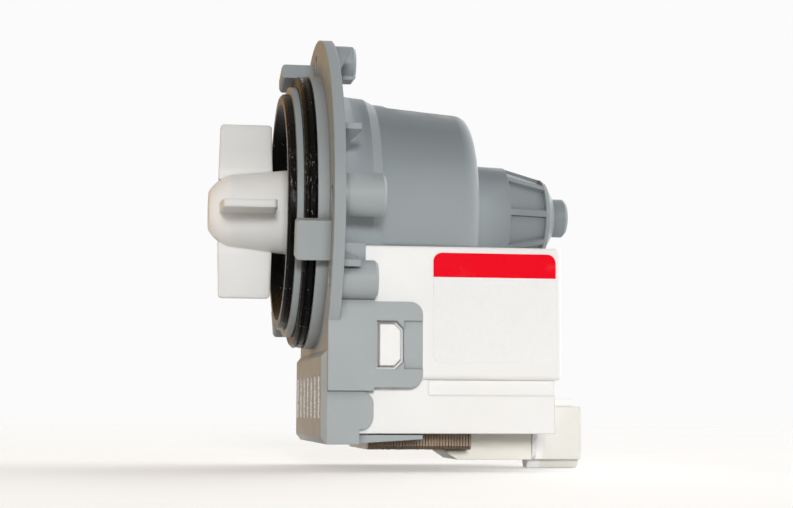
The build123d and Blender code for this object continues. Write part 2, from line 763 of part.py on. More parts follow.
# Impeller: a hollow barrel hub with four straight vanes and the stop for the dog
vane_root_r = hub_cavity_r + hub_root
with BuildPart() as impeller:
    with BuildSketch(Plane.XZ):
        # The rounding is part of a ball, centred on the axis
        ball_r = math.hypot(hub_nose_x - hub_ball_x, hub_front_r)
        ball_start = math.degrees(math.atan2(hub_front_r, hub_nose_x - hub_ball_x))
        ball_end = math.degrees(math.acos((hub_front - hub_ball_x) / ball_r))
        with BuildLine():
            rounding = CenterArc((hub_ball_x, 0), ball_r, ball_start, ball_end - ball_start)
            Polyline(rounding @ 1, (hub_front, 0), (hub_rear, 0), (hub_rear, hub_rear_r), rounding @ 0)
        make_face()
    revolve(axis=Axis.X)
    for i in range(vane_count):
        a = math.radians(360 * i / vane_count + vane_clock)
        outwards = Vector(0, math.cos(a), math.sin(a))
        root = outwards * vane_root_r + Vector(vane_front + vane_len / 2, 0, 0)
        with BuildSketch(Plane(origin=root, x_dir=(1, 0, 0), z_dir=outwards)):
            Rectangle(vane_len, vane_t)
        extrude(amount=vane_r - vane_root_r, taper=vane_draft)
        tip_corners = edges(Select.LAST).filter_by(
            lambda e: e.length < vane_t and math.hypot(e.center().Y, e.center().Z) > vane_r - 0.01)
        fillet(tip_corners, vane_corner)
    with BuildSketch(Plane.YZ.offset(hub_nose_x)):
        Circle(hub_cavity_r)
    extrude(amount=hub_rear - hub_nose_x, mode=Mode.SUBTRACT)
    with BuildSketch(Plane.YZ.offset(hub_nose_x)):
        with BuildLine():
            sector(stop_inner_r, hub_cavity_r + stop_root, stop_half_angle, dog_angle + 180)
        make_face()
    extrude(amount=cap_front - press_gap - hub_nose_x)
    with BuildSketch(Plane.YZ.offset(shaft_front - shaft_spare)):
        Circle(shaft_r + run_gap)
    extrude(amount=hub_nose_x - shaft_front + shaft_spare, mode=Mode.SUBTRACT)
impeller.part.label = "impeller"
export_step(impeller.part, "parts/impeller.step")

# Damper: a rubber saddle on the impeller's stop, which the dog runs against
with BuildPart() as impeller_damper:
    with BuildSketch(Plane.YZ.offset(hub_nose_x + press_gap)):
        with BuildLine():
            sector(damper_inner_r, hub_cavity_r - seat_gap, damper_half_angle, dog_angle + 180)
        make_face()
        with BuildLine():
            sector(stop_inner_r - seat_gap, hub_cavity_r, stop_half_angle + damper_side_gap, dog_angle + 180)
        make_face(mode=Mode.SUBTRACT)
    extrude(amount=cap_front - hub_nose_x - 2 * press_gap)
impeller_damper.part.label = "impeller_damper"
export_step(impeller_damper.part, "parts/impeller_damper.step")

# Hub cap: a disc pressed into the back of the impeller, which keeps the dog inside
with BuildPart() as impeller_hub_cap:
    with BuildSketch(Plane.XZ):
        section(cap_front, cap_front + hub_cap_t, shaft_r + slip_gap, hub_cavity_r - press_gap)
    revolve(axis=Axis.X)
impeller_hub_cap.part.label = "impeller_hub_cap"
export_step(impeller_hub_cap.part, "parts/impeller_hub_cap.step")

# Stator core: U-shaped steel sheets whose legs end in pole faces around the tube
with BuildPart() as stator_core:
    with BuildSketch(Plane.YZ.offset(stack_front)):
        with BuildSketch(mode=Mode.PRIVATE) as outline:
            with Locations((0, (core_top + core_bottom) / 2)):
                Rectangle(2 * core_half_w, core_top - core_bottom)
            chamfer(outline.vertices().group_by(Axis.Y)[-1], core_corner)
            chamfer(outline.vertices().group_by(Axis.Y)[0], core_foot_corner)
        add(outline.sketch)
        Circle(pole_r, mode=Mode.SUBTRACT)
        with Locations((0, core_bottom + yoke_h)):
            Rectangle(2 * leg_inner, -core_bottom - yoke_h, mode=Mode.SUBTRACT,
                      align=(Align.CENTER, Align.MIN))
    extrude(amount=stack_len)
stator_core.part.label = "stator_core"
export_step(stator_core.part, "parts/stator_core.step")

# Coil bobbin: two spools on the legs of the core, and the block that holds the tabs
leg_mid = (leg_inner + core_half_w) / 2
spool_hole_w = leg_w + 2 * bobbin_clear
spool_hole_l = stack_len + 2 * bobbin_clear
spool_w = spool_hole_w + 2 * bobbin_wall
spool_l = spool_hole_l + 2 * bobbin_wall
wound_w = spool_w + 2 * winding_t
wound_l = spool_l + 2 * winding_t
stack_mid = (stack_front + stack_rear) / 2
socket_half_w = socket_mouth_w / 2
socket_left = socket_y - socket_half_w - socket_left_wall
socket_right = socket_y + socket_half_w + socket_right_wall
socket_mouth_top = socket_top - socket_wall
socket_mouth_bottom = socket_mouth_top - socket_mouth_h
socket_bottom = socket_mouth_bottom - socket_wall
tab_y = socket_y - 0.3
tab_z = (socket_mouth_top + socket_mouth_bottom) / 2
block_rear = skirt_rear - apron_t - seat_gap
block_top = socket_mouth_top - slip_gap
block_half_w = apron_half_w - slip_gap
toe_top = core_bottom - slip_gap
with BuildPart() as coil_bobbin:
    for z0 in (bobbin_bottom, bobbin_top - bobbin_flange_t):
        with BuildSketch(Plane.XY.offset(z0)):
            with Locations((stack_mid, 0)):
                RectangleRounded(wound_l + 2 * bobbin_edge, 2 * (leg_mid + wound_w / 2) + 2 * bobbin_edge,
                                 winding_corner)
        extrude(amount=bobbin_flange_t)
    with BuildSketch(Plane.XY.offset(bobbin_bottom)):
        with Locations((stack_mid, -leg_mid), (stack_mid, leg_mid)):
            Rectangle(spool_l, spool_w)
    extrude(amount=bobbin_top - bobbin_bottom)
    # Terminal block behind the yoke, with a toe below it
    block_front = stack_rear + slip_gap
    with BuildSketch(Plane.XZ.offset(-block_half_w)):
        Polygon((block_front, block_top), (block_rear, block_top),
                (block_rear, socket_bottom), (block_front - toe_len + toe_slope, socket_bottom),
                (block_front - toe_len, toe_top - toe_t), (block_front - toe_len, toe_top),
                (block_front, toe_top), align=None)
    extrude(amount=2 * block_half_w)
    # Room for the legs of the core
    with BuildSketch(Plane.XY.offset(bobbin_bottom - 1)):
        with Locations((stack_mid, -leg_mid), (stack_mid, leg_mid)):
            Rectangle(spool_hole_l, spool_hole_w)
    extrude(amount=bobbin_top - bobbin_bottom + 2, mode=Mode.SUBTRACT)
    # Slots for the two tabs
    with BuildSketch(Plane.YZ.offset(tab_front)):
        with Locations((tab_y, tab_z)):
            with GridLocations(tab_pitch, 1, 2, 1):
                Rectangle(tab_t + 2 * press_gap, tab_w + 2 * press_gap)
    extrude(amount=block_rear - tab_front, mode=Mode.SUBTRACT)
coil_bobbin.part.label = "coil_bobbin"
export_step(coil_bobbin.part, "parts/coil_bobbin.step")

# Windings: one on each spool, filling it from flange to flange
for name, y in (("left_winding", -leg_mid), ("right_winding", leg_mid)):
    with BuildPart() as winding:
        with BuildSketch(Plane.XY.offset(bobbin_bottom + bobbin_flange_t + press_gap)):
            with Locations((stack_mid, y)):
                RectangleRounded(wound_l, wound_w, winding_corner)
                Rectangle(spool_l + 2 * press_gap, spool_w + 2 * press_gap, mode=Mode.SUBTRACT)
        extrude(amount=bobbin_top - bobbin_bottom - 2 * bobbin_flange_t - 2 * press_gap)
    winding.part.label = name
    export_step(winding.part, f"parts/{name}.step")

# Stator cover: a white shell clipped into the bracket, with the connector shroud,
# the flexing tongue in its rear wall and the pocket for the thermal cut-out
cover_z = (cover_top + cover_bottom) / 2
with BuildPart() as stator_cover:
    with BuildSketch(Plane.XY.offset(waist_top)):
        with BuildSketch(mode=Mode.PRIVATE) as plan:
            with Locations(((cover_front + cover_rear) / 2, 0)):
                Rectangle(cover_rear - cover_front, 2 * cover_half_w)
            fillet(plan.vertices().group_by(Axis.X)[-1], cover_corner)
        add(plan.sketch)
    extrude(amount=cover_top - waist_top)
    for level, radius in ((0, cover_foot_edge), (-1, cover_top_edge)):
        rims = edges().group_by(Axis.Z)[level]
        fillet(rims.filter_by(lambda e: e.center().X > cover_front + radius), radius)
    # Narrower waist and skirt below the main body
    for z0, z1, half_w, x1 in ((waist_bottom, waist_top, waist_half_w, skirt_rear),
                               (cover_bottom, waist_bottom, skirt_half_w, skirt_rear)):
        with BuildSketch(Plane.XY.offset(z0)):
            with Locations(((cover_front + x1) / 2, 0)):
                Rectangle(x1 - cover_front, 2 * half_w)
        extrude(amount=z1 - z0)
    # In front of the waist the side wall runs straight down
    with BuildSketch(Plane.XY.offset(waist_bottom)):
        with Locations(((cover_front + waist_front) / 2, 0)):
            Rectangle(waist_front - cover_front, 2 * skirt_half_w)
    extrude(amount=waist_top - waist_bottom)
    # Raised panel on the rear wall
    with BuildSketch(Plane.YZ.offset(cover_rear - panel_sink)):
        with Locations((0, (panel_top + panel_bottom) / 2)):
            RectangleRounded(2 * panel_half_w, panel_top - panel_bottom, panel_corner)
    extrude(amount=panel_proud + panel_sink, taper=panel_slope)
    # Hollow, open at the front and below
    with BuildSketch(Plane.XY.offset(cover_bottom - 1)):
        with Locations(((cover_front - 1 + skirt_rear - cover_wall) / 2, 0)):
            Rectangle(skirt_rear - cover_wall - cover_front + 1, 2 * (waist_half_w - waist_wall))
    extrude(amount=cover_top - cover_wall - cover_bottom + 1, mode=Mode.SUBTRACT)
    # Opening in the top for the poles, and the saddle around the nose
    with BuildSketch(Plane.XY.offset(cover_top - cover_wall - 1)):
        with Locations(((cover_front - 1 + stack_rear + slip_gap) / 2, 0)):
            Rectangle(stack_rear + slip_gap - cover_front + 1, 2 * (core_half_w + slip_gap))
    extrude(amount=cover_wall + 2, mode=Mode.SUBTRACT)
    saddle_front = stack_rear + slip_gap
    saddle_half_w = 0.75 * tube_r
    with BuildSketch(Plane.YZ.offset(saddle_front)):
        with Locations((0, cover_top)):
            Rectangle(2 * saddle_half_w, saddle_h, align=(Align.CENTER, Align.MAX))
    extrude(amount=cover_rear - saddle_inset - saddle_front)
    with BuildSketch(Plane.YZ.offset(saddle_front - 1)):
        Circle(tube_r + nose_slip)
    extrude(amount=cover_rear - saddle_front + 3, mode=Mode.SUBTRACT)
    # U-shaped slot around the flexing tongue
    with BuildSketch(Plane.YZ.offset(skirt_rear - cover_wall - 1)):
        slot_mid_z = (tongue_top + tongue_bottom) / 2
        with Locations(((tongue_inner_y + tongue_outer_y) / 2, slot_mid_z)):
            Rectangle(tongue_outer_y - tongue_inner_y, tongue_top - tongue_bottom)
        with Locations(((tongue_inner_y + tongue_slot + tongue_outer_y) / 2, slot_mid_z)):
            Rectangle(tongue_outer_y - tongue_inner_y - tongue_slot,
                      tongue_top - tongue_bottom - 2 * tongue_slot, mode=Mode.SUBTRACT)
    extrude(amount=cover_wall + panel_proud + 3, mode=Mode.SUBTRACT)
    # Seat for the terminal block, where the rear wall is thinner
    with BuildSketch(Plane.YZ.offset(skirt_rear - cover_wall - 1)):
        with Locations((0, block_top + seat_gap)):
            Rectangle(2 * (block_half_w + seat_gap), block_top - cover_bottom + 1,
                      align=(Align.CENTER, Align.MAX))
    extrude(amount=cover_wall - apron_t + 1, mode=Mode.SUBTRACT)
    # Connector shroud on its apron, with the raised crest, key, latch groove and eye
    with BuildSketch(Plane.YZ.offset(skirt_rear - apron_t)):
        with BuildSketch(mode=Mode.PRIVATE) as apron:
            with Locations((0, cover_bottom)):
                Rectangle(4 * apron_half_w, 2, align=(Align.CENTER, Align.MIN))
                Rectangle(2 * apron_half_w, cover_bottom - socket_bottom, align=(Align.CENTER, Align.MAX))
            fillet(apron.vertices().filter_by_position(
                Axis.X, -apron_half_w - 0.01, apron_half_w + 0.01), apron_corner)
        add(apron.sketch)
    extrude(amount=apron_t)
    with BuildSketch(Plane.YZ.offset(skirt_rear - apron_t)):
        with Locations((socket_left, socket_bottom)):
            Rectangle(socket_right - socket_left, socket_top - socket_bottom, align=(Align.MIN, Align.MIN))
        with Locations((crest_y, socket_top)):
            Rectangle(socket_right - crest_y, crest_h, align=(Align.MIN, Align.MIN))
        with Locations((key_y, socket_bottom)):
            Trapezoid(key_w, key_h, key_slope, align=(Align.CENTER, Align.MIN), rotation=180)
    extrude(amount=socket_rear - skirt_rear + apron_t)
    chamfer(faces().sort_by(Axis.X)[-1].outer_wire().edges(), socket_edge)
    with BuildSketch(Plane.YZ.offset(socket_floor_x)):
        with Locations((socket_y, (socket_mouth_top + socket_mouth_bottom) / 2)):
            Rectangle(socket_mouth_w, socket_mouth_h)
    extrude(amount=socket_rear - socket_floor_x, mode=Mode.SUBTRACT)
    with BuildSketch(Plane.YZ.offset(socket_rear - latch_len)):
        with Locations((latch_y, socket_mouth_top)):
            Rectangle(latch_w, latch_h, align=(Align.CENTER, Align.MIN))
    extrude(amount=latch_len, mode=Mode.SUBTRACT)
    with BuildSketch(Plane.XY.offset(socket_mouth_top - 0.5)):
        with Locations((eye_x, eye_y)):
            Rectangle(eye_len, eye_w)
    extrude(amount=crest_h + 2, mode=Mode.SUBTRACT)
    with BuildSketch(Plane.YZ.offset(skirt_rear - cover_wall)):
        with Locations((tab_y, tab_z)):
            with GridLocations(tab_pitch, 1, 2, 1):
                Rectangle(tab_t + 2 * seat_gap, tab_w + 2 * seat_gap)
    extrude(amount=socket_floor_x - skirt_rear + cover_wall, mode=Mode.SUBTRACT)
    # Pocket for the thermal cut-out, open to the inside
    with BuildSketch(Plane.YZ.offset(skirt_rear - overlap)):
        with Locations((pocket_y, pocket_top - pocket_h / 2)):
            RectangleRounded(pocket_w, pocket_h, pocket_corner)
    extrude(amount=pocket_rear - skirt_rear + overlap)
    fillet(faces().filter_by(Axis.X).filter_by(
        lambda f: abs(f.center().X - pocket_rear) < 0.01).edges(), pocket_edge)
    with BuildSketch(Plane.YZ.offset(skirt_rear - cover_wall - 1)):
        with Locations((pocket_y, pocket_top - pocket_h / 2)):
            Rectangle(pocket_w - 2 * pocket_wall, pocket_h - 2 * pocket_wall)
    extrude(amount=pocket_rear - skirt_rear + cover_wall + 1 - pocket_wall, mode=Mode.SUBTRACT)
    # Catches that snap into the windows of the bracket
    for side in (-1, 1):
        with BuildSketch(Plane.XZ.offset(-side * (cover_half_w - catch_sink))):
            with BuildSketch(mode=Mode.PRIVATE) as catch:
                with Locations(((window_front + window_rear) / 2, (window_top + window_bottom) / 2)):
                    Rectangle(window_rear - window_front - 2 * slip_gap,
                              window_top - window_bottom - 2 * slip_gap)
                chamfer(catch.vertices().group_by(Axis.X)[-1], window_corner)
            add(catch.sketch)
        extrude(amount=-side * (bracket_half_w - catch_inset - cover_half_w + catch_sink), taper=catch_slope)
stator_cover.part.label = "stator_cover"
export_step(stator_cover.part, "parts/stator_cover.step")

# Two blade tabs, 6.3 mm by 0.8 mm, in the terminal block
with BuildPart() as terminal_tabs:
    with BuildSketch(Plane.YZ.offset(tab_front)):
        with Locations((tab_y, tab_z)):
            with GridLocations(tab_pitch, 1, 2, 1):
                Rectangle(tab_t, tab_w)
    extrude(amount=tab_rear - tab_front)
    chamfer(edges().filter_by(Axis.Y).group_by(Axis.X)[-1], tab_edge)
terminal_tabs.part.label = "terminal_tabs"
export_step(terminal_tabs.part, "parts/terminal_tabs.step")

# Thermal cut-out, in its pocket
with BuildPart() as thermal_cutout:
    with BuildSketch(Plane.YZ.offset(skirt_rear - cover_wall)):
        with Locations((pocket_y, pocket_top - pocket_h + pocket_wall + slip_gap)):
            Rectangle(cutout_w, cutout_h, align=(Align.CENTER, Align.MIN))
    extrude(amount=pocket_rear - pocket_wall - slip_gap - skirt_rear + cover_wall)
thermal_cutout.part.label = "thermal_cutout"
export_step(thermal_cutout.part, "parts/thermal_cutout.step")

# Blank label on the cover's side
with BuildPart() as blank_label:
    with BuildSketch(Plane.XZ.offset(cover_half_w)):
        with Locations((label_front + label_w / 2, label_top - label_h / 2)):
            RectangleRounded(label_w, label_h, label_corner)
    extrude(amount=label_t)
blank_label.part.label = "blank_label"
export_step(blank_label.part, "parts/blank_label.step")
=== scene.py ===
import math
import random

import bmesh
import bpy
from mathutils import Matrix, Vector

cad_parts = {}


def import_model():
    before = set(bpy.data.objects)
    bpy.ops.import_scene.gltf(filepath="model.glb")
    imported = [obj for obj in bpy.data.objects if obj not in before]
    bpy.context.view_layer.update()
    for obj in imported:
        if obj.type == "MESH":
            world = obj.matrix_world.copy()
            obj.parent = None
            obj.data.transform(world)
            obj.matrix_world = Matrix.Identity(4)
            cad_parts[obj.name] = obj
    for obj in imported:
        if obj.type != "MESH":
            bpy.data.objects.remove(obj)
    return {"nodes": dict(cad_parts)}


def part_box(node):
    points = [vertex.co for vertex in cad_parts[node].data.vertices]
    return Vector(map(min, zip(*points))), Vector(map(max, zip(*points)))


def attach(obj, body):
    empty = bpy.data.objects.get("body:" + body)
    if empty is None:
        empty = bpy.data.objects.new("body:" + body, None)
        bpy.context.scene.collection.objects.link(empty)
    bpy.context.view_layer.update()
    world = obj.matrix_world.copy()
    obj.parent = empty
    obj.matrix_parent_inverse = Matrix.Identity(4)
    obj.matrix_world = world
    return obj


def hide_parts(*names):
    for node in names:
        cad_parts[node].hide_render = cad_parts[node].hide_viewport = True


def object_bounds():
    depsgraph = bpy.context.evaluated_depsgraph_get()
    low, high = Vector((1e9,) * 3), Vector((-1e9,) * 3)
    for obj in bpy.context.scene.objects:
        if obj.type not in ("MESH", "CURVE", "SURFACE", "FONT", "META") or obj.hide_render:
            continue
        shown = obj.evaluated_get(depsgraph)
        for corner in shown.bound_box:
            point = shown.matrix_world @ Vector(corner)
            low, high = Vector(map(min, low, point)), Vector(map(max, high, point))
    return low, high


# A drain pump on a pale floor: materials for the CAD pieces, and a stator core of separate sheets.
# Lengths are in metres, and MM turns millimetres into them.
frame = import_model()
cad_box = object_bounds()
nodes = frame["nodes"]
MM = 0.001

# Camera, measured from the photograph
CAMERA_PLACE = Vector((-40.3, -383.6, -45.1)) * MM
CAMERA_TURN = math.radians(8.827)       # right of straight ahead
CAMERA_TILT = math.radians(5.29)        # upwards
CAMERA_ROLL = math.radians(0.241)
CAMERA_LENS = 75.92
CAMERA_SENSOR = 36.0

# Light and background
WORLD_LIGHT = 0.17
EVEN = (1.0, 1.0, 1.0)
WARM = (1.0, 0.77, 0.54)                # light thrown back by warm surroundings in front of the impeller
WARM_SHINE = (0.92, 0.50, 0.15)         # what glossy faces reflect of them
DIM_SHINE = (0.40, 0.41, 0.42)          # what they reflect of the far side
WARM_SIDE = (-0.02, -0.30)              # directions along X from which the world turns warm
FAR_SIDE = (0.10, 0.45)                 # directions along Y from which it reflects dimly
BACKGROUND = (0.965, 0.965, 0.965)
FLOOR_COLOUR = (0.86, 0.86, 0.855)
FLOOR_SIZE = 6.0
FLOOR_GAP = 0.1 * MM                    # below the lowest point of the pump
FLOOR_LIFT = 0.33                       # white that the camera sees on top of the lit floor
FLOOR_NEAR = 0.08                       # the floor fades into the background from here
FLOOR_FAR = 2.60
FADE_BASE = 0.40                        # larger values fade later
FLOOR_CENTRE = Vector((0.02, 0.0, 0.0))

# Colours, as linear light
GREY = (0.395, 0.430, 0.445)
GREY_PALE = (0.48, 0.515, 0.53)
GREY_DARK = (0.355, 0.39, 0.405)
GREY_UPPER_SHADED = (0.290, 0.326, 0.340)      # painted shade: the housing darker above the stator's cover
GREY_TOP_SHADED = (0.175, 0.200, 0.211)        # painted shade on the top of the shroud, and on the nose
GREY_CORNER_SHADE = (0.14, 0.145, 0.145)       # painted shade in inner corners
WHITE = (0.85, 0.85, 0.84)
WHITE_PALE = (0.88, 0.88, 0.87)
WHITE_DULL = (0.79, 0.785, 0.76)
WHITE_SOCKET_SHADE = (0.73, 0.715, 0.66)        # painted shade on the connector, behind the cover's rear wall
CREAM = (0.86, 0.84, 0.77)
CREAM_PALE = (0.88, 0.87, 0.82)
CREAM_DARK = (0.80, 0.77, 0.68)
NATURAL = (0.84, 0.85, 0.845)
NATURAL_PALE = (0.88, 0.885, 0.88)
NATURAL_HUB_LIT = (0.88, 0.89, 0.885)       # painted light: the hub paler than the vanes
NATURAL_DIM = (0.78, 0.79, 0.785)
NATURAL_VANE_SHADE = (0.67, 0.68, 0.675)      # painted shade on the upper vane
BLACK = (0.0035, 0.0035, 0.004)
BLACK_DUSTY = (0.016, 0.016, 0.016)
GASKET_WORN = (0.1, 0.1, 0.1)
SEAL_WORN = (0.16, 0.155, 0.15)
RUBBER_WORN = (0.09, 0.09, 0.09)
SEAL_RUBBER = (0.012, 0.012, 0.013)
MOUNT_RUBBER = (0.02, 0.02, 0.02)
MOUNT_DUSTY = (0.06, 0.06, 0.06)
SPECK_AND_GLINT = (0.38, 0.38, 0.36)              # drops and dirt on the black rings, and their painted highlight streak
STEEL = (0.56, 0.56, 0.55)
STEEL_DARK = (0.27, 0.27, 0.26)
STEEL_BRIGHT = (0.72, 0.72, 0.71)
SHAFT_DARK = (0.50, 0.50, 0.51)
SHAFT_BRIGHT = (0.68, 0.68, 0.68)
CUT_EDGE = (0.25, 0.18, 0.12)           # stamped edge of a core sheet
# rust, and painted shade at the joins between core sheets
RUST_AND_JOIN_SHADE = (0.07, 0.045, 0.027)
COPPER = (0.62, 0.24, 0.09)
COPPER_GROOVE_SHADE = (0.30, 0.09, 0.03)
COPPER_DULL = (0.46, 0.15, 0.05)
BRASS = (0.90, 0.78, 0.45)
BRASS_DARK = (0.66, 0.53, 0.27)
BRASS_WORN = (0.90, 0.80, 0.55)
FERRITE = (0.055, 0.055, 0.06)
FERRITE_PALE = (0.11, 0.11, 0.115)
RED = (0.97, 0.0025, 0.018)
RED_DEEP = (0.85, 0.002, 0.014)
LABEL_WHITE = (0.91, 0.91, 0.91)
LABEL_GREY = (0.885, 0.885, 0.885)
LABEL_SOILED = (0.55, 0.53, 0.50)
# Each one plain, pale and dark
BUSH = ((0.075, 0.075, 0.08), (0.14, 0.14, 0.15), (0.05, 0.05, 0.05))
WASHER = ((0.72, 0.71, 0.67), (0.8, 0.8, 0.77), (0.62, 0.6, 0.55))
CUTOUT = ((0.03, 0.03, 0.03), (0.08, 0.08, 0.08), (0.02, 0.02, 0.02))

# Where the housing's painted shade changes: (none, full) along an axis
UPPER_FADE = (-22 * MM, 4 * MM)         # Z, up to the upper part in painted shade
PROUD_FADE = (-29 * MM, -33 * MM)       # Y, out to the boss and the hooks on the label side, which the painted shade leaves lighter
RIM_MIDDLE = 1.6 * MM                   # X, the flange's rim
RIM_HALF = 1.7 * MM
SHROUD_FADE = (5 * MM, 9 * MM)          # X, back to the shroud
ROOF_FADE = (0.0, 10 * MM)              # Z, up to the shroud's upper faces
ROOF_END = (32 * MM, 30 * MM)           # Z, not as far up as the flange's bosses
NOSE_FADE = (38 * MM, 46 * MM)          # X, back to the nose

# Painted shade on the connector on the cover, and on the impeller's upper vane
SOCKET_FADE = (51.9 * MM, 52.6 * MM)    # X, behind the cover's rear wall
SOCKET_HALF = 7.6 * MM                  # Y
SOCKET_TOP = (-43.9 * MM, -44.3 * MM)   # Z
VANE_FADE = (4 * MM, 14 * MM)           # Z, up into the upper vane's painted shade

# Painted light on the walls of the vents in the bracket's front wall
VENT_CENTRE = -42.6 * MM
VENT_HALF = 4.7 * MM
VENT_SPREAD = 25.4 * MM                 # half the length of the row
VENT_BACK = 2.5 * MM                    # the wall's inner face
VENT_WALL_LIT = (0.86, 0.86, 0.85)

# Label, windings, impeller and core
BAND_BOTTOM = -16.6 * MM                # lower edge of the label's red band
GLINT_HEIGHT = 5.0 * MM                 # middle of the painted highlight streak on the rings
GLINT_SIDE = -14.0 * MM
WIRE_PITCH = 0.22 * MM
HUB_RADIUS = 9.8 * MM
SHEET_COUNT = 36
SHEET_GAP = 0.09 * MM
SHEET_SLACK = 0.035 * MM                # how far a sheet may lie out of line
LEG_WIDTH = 7.9 * MM
YOKE_HEIGHT = 8.0 * MM
POLE_RADIUS = 12.6 * MM
POLE_STEPS = 18
TOP_CORNER = 3.2 * MM
FOOT_CORNER = 0.8 * MM


class Graph:
    """A material's node tree, with short calls that add and join nodes."""

    def __init__(self, name):
        self.material = bpy.data.materials.new(name)
        self.material.use_nodes = True
        self.tree = self.material.node_tree
        self.shader = self.tree.nodes["Principled BSDF"]
        self.place = self.add("ShaderNodeTexCoord").outputs["Object"]

    def add(self, kind, inputs=None, **settings):
        node = self.tree.nodes.new(kind)
        for key, value in settings.items():
            setattr(node, key, value)
        for key, value in (inputs or {}).items():
            self.feed(node.inputs[key], value)
        return node

    def feed(self, socket, value):
        if isinstance(value, bpy.types.NodeSocket):
            self.tree.links.new(value, socket)
        elif isinstance(value, tuple) and len(value) == 3 and socket.type == "RGBA":
            socket.default_value = (*value, 1)
        else:
            socket.default_value = value

    def math(self, operation, a, b=0.0, clamp=False):
        return self.add("ShaderNodeMath", {0: a, 1: b}, operation=operation, use_clamp=clamp).outputs[0]

    def remap(self, value, low, high, to_low=0.0, to_high=1.0):
        inputs = {"Value": value, "From Min": low, "From Max": high, "To Min": to_low, "To Max": to_high}
        return self.add("ShaderNodeMapRange", inputs).outputs["Result"]

    def noise(self, size, detail=3.0, stretch=None, distortion=0.0):
        """Noise from 0 to 1 whose features are about size across."""
        place = self.place
        if stretch:
            place = self.add("ShaderNodeMapping", {"Vector": place, "Scale": stretch}).outputs[0]
        inputs = {"Vector": place, "Scale": 1 / size, "Detail": detail, "Distortion": distortion}
        return self.add("ShaderNodeTexNoise", inputs).outputs["Fac"]

    def cells(self, size):
        inputs = {"Vector": self.place, "Scale": 1 / size}
        return self.add("ShaderNodeTexVoronoi", inputs).outputs["Distance"]

    def mix(self, share, a, b):
        node = self.add("ShaderNodeMix", data_type="RGBA")
        self.feed(node.inputs["Factor"], share)
        self.feed(node.inputs[6], a)
        self.feed(node.inputs[7], b)
        return node.outputs[2]

    def axis(self, name):
        return self.add("ShaderNodeSeparateXYZ", {0: self.place}).outputs[name]

    def facing(self, name):
        """How far the surface faces along an axis, from 0 to 1."""
        normal = self.add("ShaderNodeTexCoord").outputs["Normal"]
        part = self.add("ShaderNodeSeparateXYZ", {0: normal}).outputs[name]
        return self.math("ABSOLUTE", part)

    def edges(self, radius, low=0.02, high=0.22):
        """Share of edge, from 0 on flat places to 1 on sharp edges, and the rounded normal there."""
        rounded = self.add("ShaderNodeBevel", {"Radius": radius}, samples=6).outputs[0]
        normal = self.add("ShaderNodeNewGeometry").outputs["Normal"]
        dot = self.add("ShaderNodeVectorMath", {0: rounded, 1: normal}, operation="DOT_PRODUCT")
        return self.remap(self.math("SUBTRACT", 1.0, dot.outputs["Value"]), low, high), rounded

    def corners(self, distance):
        """Share of inner corner within a distance, from 0 to 1."""
        inputs = {"Distance": distance}
        open_share = self.add("ShaderNodeAmbientOcclusion", inputs, samples=4, only_local=True).outputs["AO"]
        return self.remap(open_share, 0.45, 0.9, 1.0, 0.0)

    def within(self, value, middle, half, soft):
        """1 where a value is within half of the middle, and 0 outside."""
        off = self.math("ABSOLUTE", self.math("SUBTRACT", value, middle))
        return self.remap(off, half + soft, half, 0.0, 1.0)

    def bump(self, height, distance, normal=None):
        inputs = {"Height": height, "Distance": distance}
        if normal is not None:
            inputs["Normal"] = normal
        return self.add("ShaderNodeBump", inputs).outputs[0]

    def finish(self, **sockets):
        for key, value in sockets.items():
            self.feed(self.shader.inputs[key.replace("_", " ")], value)
        return self.material


def moulded_graph(name, colour, pale, dark, rough, edge=0.35 * MM, grain=0.02 * MM, wear=0.3,
                  cloudy=0.5, blotch=12 * MM):
    """Moulded plastic: faint clouds, paler edges, fine grain and shallow flow marks."""
    g = Graph(name)
    cloud = g.noise(blotch, 5.0, distortion=0.4)
    fleck = g.noise(0.5 * MM, 2.0)
    body = g.mix(g.remap(cloud, 0.3, 0.75, 0.0, cloudy), colour, dark)
    body = g.mix(g.remap(fleck, 0.60, 0.8, 0.0, 0.22), body, pale)
    edge_share, rounded = g.edges(edge)
    patchy = g.remap(g.noise(3 * MM, 4.0), 0.4, 0.65, 0.3 * wear, wear)
    body = g.mix(g.math("MULTIPLY", edge_share, patchy), body, pale)
    flow = g.noise(8 * MM, 2.0, stretch=(0.35, 1.0, 1.0))
    normal = g.bump(flow, 0.025 * MM, rounded)
    normal = g.bump(g.noise(0.45 * MM, 3.0), grain, normal)
    roughness = g.remap(g.noise(4 * MM, 4.0), 0.3, 0.7, rough - 0.05, rough + 0.07)
    g.body = body
    g.finish(Base_Color=body, Roughness=roughness, Normal=normal)
    return g


def moulded(*values, **more):
    return moulded_graph(*values, **more).material


def vent_wall_light(g):
    """Share of painted light on the walls of the vents, pale and speckled."""
    wall = g.remap(g.facing("Y"), 0.5, 0.8)
    row = g.within(g.axis("Z"), VENT_CENTRE, VENT_HALF, 0.15 * MM)
    spread = g.within(g.axis("Y"), 0.0, VENT_SPREAD, 0.1 * MM)
    front = g.remap(g.axis("X"), VENT_BACK + 0.1 * MM, VENT_BACK, 0.0, 1.0)
    speckle = g.remap(g.noise(0.45 * MM, 3.0), 0.36, 0.56, 0.4, 1.0)
    share = g.math("MULTIPLY", g.math("MULTIPLY", wall, row), g.math("MULTIPLY", spread, front))
    return g.math("MULTIPLY", share, speckle)


